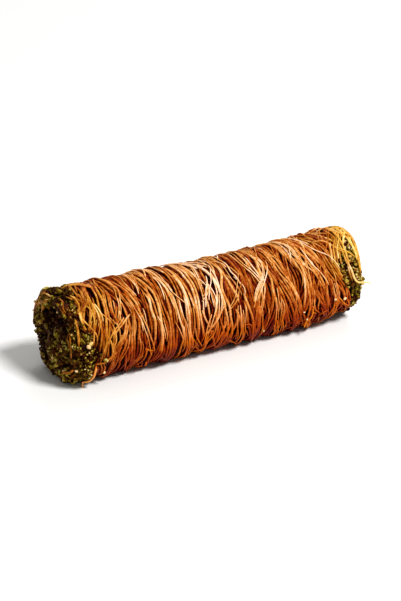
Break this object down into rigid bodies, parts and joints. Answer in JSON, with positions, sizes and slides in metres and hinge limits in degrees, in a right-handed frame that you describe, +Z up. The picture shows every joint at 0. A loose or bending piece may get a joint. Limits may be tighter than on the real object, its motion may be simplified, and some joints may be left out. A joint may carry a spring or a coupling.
{
  "type": "kadayif roll",
  "caption": "Finger-length roll of golden shredded pastry wound round chopped pistachio, which shows green at both ends.",
  "frame": {"origin": "bottom centre of the roll's box, on the surface it lies on", "axes": "+Z up, +X along the roll away from its thicker end, +Y across it"},
  "size_m": [0.106, 0.03, 0.0284],
  "materials": {
    "baked_pastry": "baked golden to amber strands with a thin syrup sheen",
    "chopped_nuts": "dull to slightly oily chopped green nuts"
  },
  "bodies": {
    "root": {"kadayif_wrap": "baked_pastry", "pistachio_filling": "chopped_nuts"}
  },
  "joints": []
}
